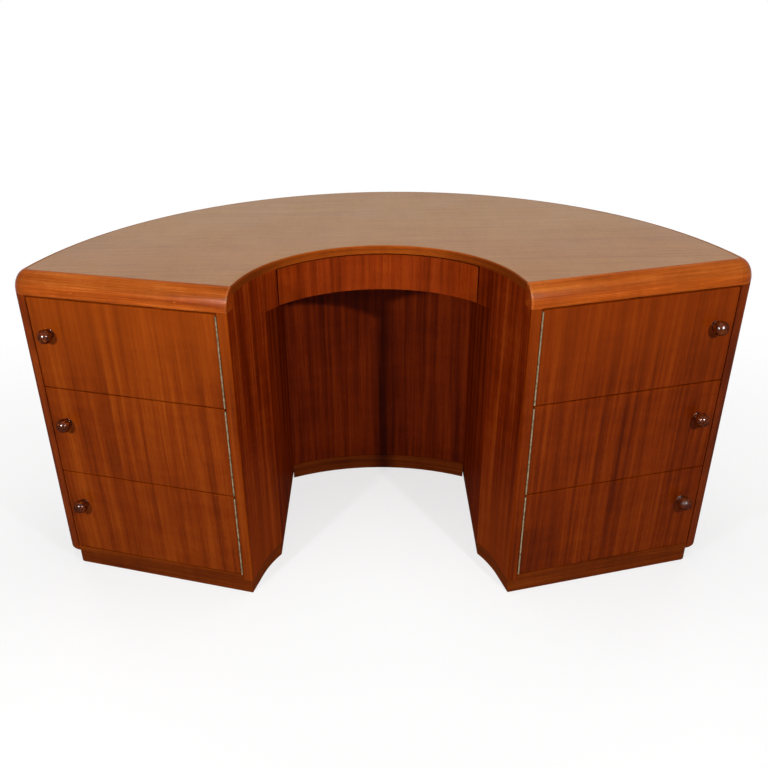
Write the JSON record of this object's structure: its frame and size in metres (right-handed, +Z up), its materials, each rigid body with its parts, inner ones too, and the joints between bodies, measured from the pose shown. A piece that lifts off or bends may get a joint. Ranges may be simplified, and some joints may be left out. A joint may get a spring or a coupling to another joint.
{
  "type": "desk",
  "caption": "Curved pedestal desk with a round kneehole, a rolled top edge, drawers that swing out on upright hinges, and a curved centre drawer that slides.",
  "frame": {"origin": "on the floor, at the middle of the desk's footprint", "axes": "+X to the sitter's right, +Y away from the sitter towards the curved back, +Z up"},
  "size_m": [1.5426, 0.781, 0.75],
  "materials": {
    "veneer_top": "polished lacquer over brown veneer, grain across the width",
    "veneer_front": "polished lacquer over red-brown veneer, upright grain",
    "veneer_wall": "polished lacquer over dark red-brown veneer, upright grain",
    "nosing_wood": "polished lacquer over orange-brown wood, grain along the edge",
    "plinth_wood": "satin lacquer over red-brown wood, grain along the strip",
    "tray_wood": "plain pale wood, sealed and matte",
    "knob_wood": "dark turned wood, high gloss",
    "hinge_brass": "aged brass, dulled"
  },
  "bodies": {
    "carcass": {"outer_wall": "veneer_wall", "top_board": "veneer_top", "nosing_left": "nosing_wood", "nosing_right": "nosing_wood", "stile_left": "veneer_front", "stile_right": "veneer_front", "knee_wall_left": "veneer_wall", "knee_wall_right": "veneer_wall", "inner_side_left": "veneer_wall", "inner_side_right": "veneer_wall", "back_panel": "veneer_wall", "bottom_left": "plinth_wood", "bottom_right": "plinth_wood", "back_bottom": "tray_wood", "back_strip": "plinth_wood", "plinth_outer": "plinth_wood", "plinth_front_left": "plinth_wood", "plinth_front_right": "plinth_wood", "plinth_knee_left": "plinth_wood", "plinth_knee_right": "plinth_wood", "plinth_side_left": "plinth_wood", "plinth_side_right": "plinth_wood", "apron_stile_left": "veneer_front", "apron_stile_right": "veneer_front", "runner_left": "tray_wood", "runner_right": "tray_wood", "lower_stile_leaf_left": "hinge_brass", "lower_stile_leaf_right": "hinge_brass", "middle_stile_leaf_left": "hinge_brass", "middle_stile_leaf_right": "hinge_brass", "upper_stile_leaf_left": "hinge_brass", "upper_stile_leaf_right": "hinge_brass"},
    "centre_drawer": {"centre_drawer_front": "veneer_front", "centre_drawer_tray": "tray_wood"},
    "lower_drawer_left": {"lower_front_left": "veneer_front", "lower_tray_left": "tray_wood", "lower_leaf_left": "hinge_brass", "lower_knob_left": "knob_wood"},
    "lower_drawer_right": {"lower_front_right": "veneer_front", "lower_tray_right": "tray_wood", "lower_leaf_right": "hinge_brass", "lower_knob_right": "knob_wood"},
    "middle_drawer_left": {"middle_front_left": "veneer_front", "middle_tray_left": "tray_wood", "middle_leaf_left": "hinge_brass", "middle_knob_left": "knob_wood"},
    "middle_drawer_right": {"middle_front_right": "veneer_front", "middle_tray_right": "tray_wood", "middle_leaf_right": "hinge_brass", "middle_knob_right": "knob_wood"},
    "upper_drawer_left": {"upper_front_left": "veneer_front", "upper_tray_left": "tray_wood", "upper_leaf_left": "hinge_brass", "upper_knob_left": "knob_wood"},
    "upper_drawer_right": {"upper_front_right": "veneer_front", "upper_tray_right": "tray_wood", "upper_leaf_right": "hinge_brass", "upper_knob_right": "knob_wood"}
  },
  "joints": [
    {"name": "centre_slide", "type": "slide", "parent": "carcass", "child": "centre_drawer", "axis": [0, -1, 0], "range_m": [0, 0.18]},
    {"name": "lower_left_swing", "type": "hinge", "parent": "carcass", "child": "lower_drawer_left", "pos_m": [-0.31989, -0.38578, 0.16095], "axis": [0, 0, 1], "range_deg": [0, 90]},
    {"name": "lower_right_swing", "type": "hinge", "parent": "carcass", "child": "lower_drawer_right", "pos_m": [0.31989, -0.38578, 0.16095], "axis": [0, 0, -1], "range_deg": [0, 90]},
    {"name": "middle_left_swing", "type": "hinge", "parent": "carcass", "child": "middle_drawer_left", "pos_m": [-0.31989, -0.38578, 0.38005], "axis": [0, 0, 1], "range_deg": [0, 90]},
    {"name": "middle_right_swing", "type": "hinge", "parent": "carcass", "child": "middle_drawer_right", "pos_m": [0.31989, -0.38578, 0.38005], "axis": [0, 0, -1], "range_deg": [0, 90]},
    {"name": "upper_left_swing", "type": "hinge", "parent": "carcass", "child": "upper_drawer_left", "pos_m": [-0.31989, -0.38578, 0.59555], "axis": [0, 0, 1], "range_deg": [0, 90]},
    {"name": "upper_right_swing", "type": "hinge", "parent": "carcass", "child": "upper_drawer_right", "pos_m": [0.31989, -0.38578, 0.59555], "axis": [0, 0, -1], "range_deg": [0, 90]}
  ]
}
